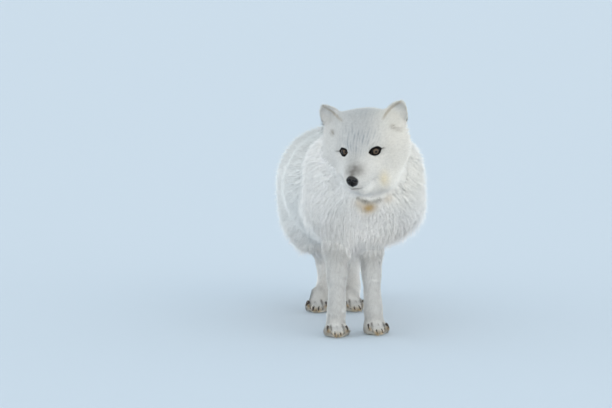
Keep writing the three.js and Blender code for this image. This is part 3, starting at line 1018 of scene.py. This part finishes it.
def two_tone(tree, share, low, high):
    """A colour between these two."""
    node = add_node(tree, "ShaderNodeValToRGB", {"Fac": share})
    for stop, colour in zip(node.color_ramp.elements, (low, high)):
        stop.color = (*colour, 1)
    return node.outputs["Color"]


def make_materials():
    fur, shader = new_material(
        "white winter fur", Roughness=0.85, Specular_IOR_Level=0.25, Sheen_Weight=0.2, Sheen_Roughness=0.5
    )
    grained(shader, "coat", 260.0, 0.93, 1.05)

    skin, shader = new_material("short fur and skin", Roughness=0.9, Specular_IOR_Level=0.06)
    _, grain = grained(shader, "coat", 900.0, 0.8, 1.06)
    bump(shader, grain, 0.5, 0.0006)

    eye, shader = new_material(
        "wet eye", Roughness=0.25, Specular_IOR_Level=0.08, Coat_Weight=0.4, Coat_Roughness=0.02
    )
    grained(shader, "tint", 1500.0, 0.85, 1.15)

    nose, shader = new_material("moist black nose", Roughness=0.2, Specular_IOR_Level=0.14)
    place, _ = grained(shader, "tint", 1400.0, 0.8, 1.2)
    cells = add_node(shader.id_data, "ShaderNodeTexVoronoi", {"Vector": place, "Scale": 950.0})
    bump(shader, cells.outputs["Distance"], 0.7, 0.0005)

    claw, shader = new_material("dark horn", Roughness=0.4, Specular_IOR_Level=0.4)
    tree = shader.id_data
    place = add_node(tree, "ShaderNodeTexCoord").outputs["Object"]
    noise = add_node(tree, "ShaderNodeTexNoise", {"Vector": place, "Scale": 400.0, "Detail": 2.0})
    feed(shader, {"Base Color": two_tone(tree, noise.outputs["Fac"], *CLAW_TONES)})

    whisker, _ = new_material("whisker", Roughness=0.4, Base_Color=(0.7, 0.7, 0.69, 1))
    floor, _ = new_material("pale floor", Roughness=0.9, Specular_IOR_Level=0.1, Base_Color=(*FLOOR, 1))
    return dict(fur=fur, skin=skin, eye=eye, nose=nose, claw=claw, whisker=whisker, floor=floor)


# ---- Eyes, nose, claws and whiskers ----

# How far from the eye's axis the iris and pupil reach, in degrees, and how far the front bulges, in mm.
IRIS = {"half_angle": 33.0, "pupil": 11.0, "bulge": 0.6}
IRIS_BROWN = np.array([0.075, 0.050, 0.033])
IRIS_PALE = (0.13, 0.092, 0.062)
IRIS_DARK = np.array([0.006, 0.0045, 0.0035])
PUPIL = (0.003, 0.003, 0.003)
# Where each eye looks, in the head's frame: both a little to the fox's left.
GAZE = {"left": (0.54, -0.83, 0.15), "right": (0.105, -0.94, 0.34)}


def lathe_mesh(name, rings):
    """A closed mesh through rings of points, the first and last of them single points."""
    points = np.concatenate([np.reshape(ring, (-1, 3)) for ring in rings])
    sides = len(rings[1])
    end = 1 + (len(rings) - 3) * sides
    faces = []
    for j in range(sides):
        k = (j + 1) % sides
        faces.append((0, 1 + k, 1 + j))
        faces.append((len(points) - 1, end + j, end + k))
        for row in range(1, end, sides):
            faces.append((row + j, row + k, row + sides + k, row + sides + j))
    return facing_out(new_mesh(name, points, faces))


def facing_out(mesh):
    """The closed mesh, smooth, with all its faces turned to point out of it."""
    with edited(mesh) as bm:
        bmesh.ops.recalc_face_normals(bm, faces=bm.faces)
    mesh.shade_smooth()
    return mesh


def make_eye(side):
    forward = unit(GAZE[side]) @ HEAD_AXES
    across = unit(np.cross(HEAD_AXES[2], forward))
    up = np.cross(forward, across)
    lens = math.radians(IRIS["half_angle"] + 6)
    ball = EYE_RADIUS - 0.05 * MM
    rings = []
    for angle in [*np.linspace(0, lens, 40), *np.linspace(lens, math.pi, 24)[1:]]:
        radius = ball + IRIS["bulge"] * MM * (1 - ramp(0, lens, angle))
        way = math.sin(angle) * circle(96, across, up) + math.cos(angle) * forward
        rings.append(EYES[side] + radius * way)
    rings[0], rings[-1] = rings[0][:1], rings[-1][:1]
    mesh = lathe_mesh("eyeball_" + side, rings)
    write_colours(mesh, "tint", eye_colour(points_of(mesh), side, forward, across, up))
    finish_piece("eyeball_" + side, mesh, "eye", "eye", "eye_" + side)


def eye_colour(points, side, forward, across, up):
    """A dark pupil, a brown iris with fibres that run out from it, and a dark edge."""
    away = unit(points - EYES[side])
    angle = np.degrees(np.arccos(np.clip(away @ forward, -1, 1)))
    turn = np.arctan2(away @ up, away @ across)
    fibres = 0.5 + 0.25 * np.sin(41 * turn + 3 * np.sin(5 * turn)) + 0.25 * np.sin(67 * turn + angle / 4)
    out = (angle - IRIS["pupil"]) / (IRIS["half_angle"] - IRIS["pupil"])
    iris = IRIS_BROWN * (0.7 + 0.55 * fibres * ramp(0, 0.3, out))[:, None]
    return tinted(
        iris,
        (IRIS_PALE, 0.5 * spot(out[:, None], (0.35,), (0.3,))),
        (IRIS_DARK, ramp(0.72, 1.0, out)),
        (PUPIL, 1 - ramp(-0.10, 0.04, out)),
        (IRIS_DARK * 0.8, ramp(1.4, 2.4, out)),
    )


NOSE_GRID = (96, 60)
NOSE_BLACK = np.array([0.0035, 0.0035, 0.004])
# the colour of the painted highlights on the nose
NOSE_PAINTED_GLINT = (0.17, 0.19, 0.22)
# A nostril, the slit beside it and the wing above it, as soft spots on the left half of the nose.
NOSTRILS = [
    ((0.50, -0.84, -0.02), (0.20, 0.5, 0.19)),
    ((0.80, -0.55, -0.18), (0.25, 0.35, 0.10)),
    ((0.58, -0.72, 0.32), (0.34, 0.5, 0.15)),
]


def make_nose():
    """The nose pad, in rings that run from its front, at -Y, to its back."""
    x, y, z = np.eye(3)
    angles = np.linspace(0, math.pi, NOSE_GRID[1] + 1)
    ways = [math.sin(a) * circle(NOSE_GRID[0], x, z) - math.cos(a) * y for a in angles]
    ways[0], ways[-1] = ways[0][:1], ways[-1][:1]
    rings = [nose_surface(way) for way in ways]
    mesh = lathe_mesh("nose_pad", rings)
    write_colours(mesh, "tint", nose_colour(np.concatenate(ways), np.concatenate(rings)))
    finish_piece("nose_pad", mesh, "nose", "nose", "nose")


def nostrils(way):
    """How deep in each of NOSTRILS, on either side, each direction is."""
    mirrored = [np.multiply(way, (sign, 1, 1)) for sign in SIDES.values()]
    return [sum(spot(half, *place) for half in mirrored) for place in NOSTRILS]


def nose_surface(way):
    """The nose pad's surface in these directions from its middle: flat on top and pointed below."""
    x, y, z = way.T
    low, high = ramp(0.15, -1.0, z), ramp(0.1, 1.0, z)
    wide = x * (1 - 0.72 * low**1.3) * (1 + 0.32 * high)
    tall = z * (1 - 0.24 * high) * (1 + 0.22 * low)
    shape = np.stack([wide, y * (1 - 0.12 * high), tall], axis=1) * NOSE_SIZE
    hole, slit, wing = nostrils(way)
    depth = 0.8 * np.exp(-((x / 0.07) ** 2)) * ramp(0.45, -0.2, z) + 4.4 * hole + 2.2 * slit - 0.9 * wing
    front = ramp(0.25, -0.3, y)
    return from_head(NOSE_AT + shape - unit(shape) * (depth * front)[:, None])


def nose_colour(way, points):
    """Black, with painted highlights of wetness on its top and round its nostrils, and deeper black
    painted as shade in the nostrils and slits.
    """
    x, y, z = way.T
    hole, slit, wing = nostrils(way)
    grain = ramp(0.1, 1.2, ripple(points, 0.0032, 21))
    glint = 0.8 * ramp(0.3, 0.8, z) + 0.7 * wing + 0.3 * ramp(0.5, 1.0, np.abs(x)) * ramp(0.0, -0.5, z)
    # painted highlights of wetness, and painted shade in the nostrils
    wet = (NOSE_PAINTED_GLINT, 0.9 * glint * grain)
    return tinted(NOSE_BLACK, wet, (NOSE_BLACK * 0.4, 1.2 * hole + slit))


# A claw's width against the frame's, its arch and the roundness of its tip (mm), the power of its
# taper, how narrow it is for its height, and the points round it and rings along it.
CLAW = {"width": 0.92, "arch": 0.9, "round": 0.15, "taper": 2.2, "flat": 0.8, "sides": 12, "rings": 8}
CLAW_TONES = (0.025, 0.02, 0.017), (0.10, 0.08, 0.065)


def make_claw(node):
    """A claw that arches down from the root to the tip of the frame's, and stops at the floor."""
    corners = np.unique(np.round(points_of(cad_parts[node].data), 6), axis=0)
    centre = corners.mean(axis=0)
    axis = np.linalg.svd(corners - centre)[2][0]
    axis = axis * np.sign(-axis[2])
    along = (corners - centre) @ axis
    root, tip = (centre + axis * end for end in (along.min(), along.max()))
    radius = 0.5 * np.ptp(corners[:, 0]) * CLAW["width"]
    side = unit(np.cross(axis, (0, 0, 1)))
    over = np.cross(side, axis)
    rings = []
    for t in np.linspace(0, 1, CLAW["rings"] + 2)[1:-1]:
        arch = CLAW["arch"] * MM * math.sin(math.pi * t)
        thick = radius * (1 - t ** CLAW["taper"]) + CLAW["round"] * MM
        ring = mix(root, tip, t) + over * arch + thick * circle(CLAW["sides"], CLAW["flat"] * side, over)
        ring[:, 2] = np.maximum(ring[:, 2], 0)
        rings.append(ring)
    mesh = lathe_mesh(node.replace("claw", "nail"), [root, *rings, tip])
    finish_piece(mesh.name, mesh, "claw", "claw", node)


# On each side of the muzzle: rows, whiskers in a row, points along each, their lengths and their
# radius at the root (mm), and how far they sag for their length.
WHISKERS = {"rows": 3, "each": 4, "steps": 9, "length": (22.0, 40.0), "radius": 0.13, "sag": 0.25}
WHISKER_TURNS = (0.0, 2.1, 4.2)  # of a whisker's three sides, in radians


def make_whiskers(skin_tree):
    vertices, faces = [], []
    steps = WHISKERS["steps"]
    whiskers = itertools.product(SIDES.values(), range(WHISKERS["rows"]), range(WHISKERS["each"]))
    for sign, row, i in whiskers:
        start = (sign * (15 + 1.2 * i), -80 + 6.5 * i, -20 - 4.5 * row) + RNG.normal(0, 0.8, 3)
        root, normal = (np.array(found) for found in skin_tree.find_nearest(Vector(from_head(start)))[:2])
        way = unit([sign * 0.8, 0.65, -0.15 - 0.2 * row] + RNG.normal(0, 0.1, 3))
        way = unit(way @ HEAD_AXES + 0.5 * normal)
        length = RNG.uniform(*WHISKERS["length"]) * MM * (0.6 + 0.4 * i / 3)
        side = unit(np.cross(way, (0, 0, 1)))
        over = np.cross(side, way)
        first = len(vertices)
        for k, t in enumerate(np.linspace(0, 1, steps)):
            centre = root - normal * MM + length * t * (way - (0, 0, WHISKERS["sag"] * t))
            thick = WHISKERS["radius"] * MM * (1 - 0.9 * t)
            vertices += [centre + thick * turned(side, over, turn) for turn in WHISKER_TURNS]
            if k:
                a, b = first + 3 * (k - 1), first + 3 * k
                faces += [(a + m, a + (m + 1) % 3, b + (m + 1) % 3, b + m) for m in range(3)]
        last = len(vertices)
        faces += [(first, first + 2, first + 1), (last - 3, last - 2, last - 1)]
    finish_piece("whiskers", facing_out(new_mesh("whiskers", vertices, faces)), "whisker", "coat")


# ---- Camera, light and floor ----

CAMERA = {
    "target": (-0.0744, -0.0030, 0.2058),
    "azimuth": -9.0,
    "elevation": 7.1,
    "distance": 6.0,
    "lens": 203.6,
}
CLIP_END = 200.0
FLOOR = (0.645, 0.725, 0.805)
FLOOR_REACH = 40.0
SKY = {"horizon": (1.0, 0.955, 0.905), "zenith": (0.19, 0.26, 0.31), "strength": 2.05, "fall": 1.2}
SUN = {"colour": (1.0, 0.86, 0.70), "strength": 0.6, "angle": 70.0, "azimuth": 24.0, "elevation": 8.0}


def aimed(name, data, place):
    """A camera or lamp that looks from this azimuth and elevation, and the way to it."""
    a, e = math.radians(place["azimuth"]), math.radians(place["elevation"])
    way = Vector((math.sin(a) * math.cos(e), -math.cos(a) * math.cos(e), math.sin(e)))
    made = new_object(name, data)
    made.rotation_euler = way.to_track_quat("Z", "Y").to_euler()
    return made, way


def make_studio():
    camera, back = aimed("camera", bpy.data.cameras.new("camera"), CAMERA)
    camera.location = Vector(CAMERA["target"]) + back * CAMERA["distance"]
    camera.data.lens = CAMERA["lens"]
    camera.data.clip_end = CLIP_END
    bpy.context.scene.camera = camera

    sun, _ = aimed("sun", bpy.data.lights.new("sun", "SUN"), SUN)
    sun.data.energy, sun.data.color = SUN["strength"], SUN["colour"]
    sun.data.angle = math.radians(SUN["angle"])

    # A bright horizon all round, as over snow, and a dimmer and bluer sky above.
    world = bpy.data.worlds.new("sky")
    world.use_nodes = True
    tree = world.node_tree
    way = add_node(tree, "ShaderNodeTexCoord").outputs["Generated"]
    height = add_node(tree, "ShaderNodeSeparateXYZ", {"Vector": way}).outputs["Z"]
    low = add_node(tree, "ShaderNodeMath", {0: 1.0, 1: height}, operation="SUBTRACT", use_clamp=True)
    fall = {0: low.outputs["Value"], 1: SKY["fall"]}
    share = add_node(tree, "ShaderNodeMath", fall, operation="POWER").outputs["Value"]
    sky = two_tone(tree, share, SKY["zenith"], SKY["horizon"])
    feed(tree.nodes["Background"], {"Color": sky, "Strength": SKY["strength"]})
    bpy.context.scene.world = world
    bpy.context.scene.view_settings.view_transform = "Standard"

    corners = FLOOR_REACH * np.array([(-1, -1, 0), (1, -1, 0), (1, 1, 0), (-1, 1, 0)])
    mesh = new_mesh("floor", corners, [(0, 1, 2, 3)])
    mesh.materials.append(MATERIALS["floor"])
    new_object("floor", mesh)


# ---- The fox ----

MATERIALS = make_materials()
skin_mesh, skin_nodes, skin_depth = make_skin()
grow_coat(skin_mesh, skin_nodes, skin_depth)
skin_mesh.shade_smooth()
skin_mesh.materials.clear()
skin_mesh.name = "skin"
finish_piece("skin", skin_mesh, "skin", "coat", *FLESH)
for side in SIDES:
    make_eye(side)
make_nose()
for node in CLAWS:
    make_claw(node)
make_whiskers(BVHTree.FromPolygons(points_of(skin_mesh), triangles_of(skin_mesh).tolist()))
make_studio()
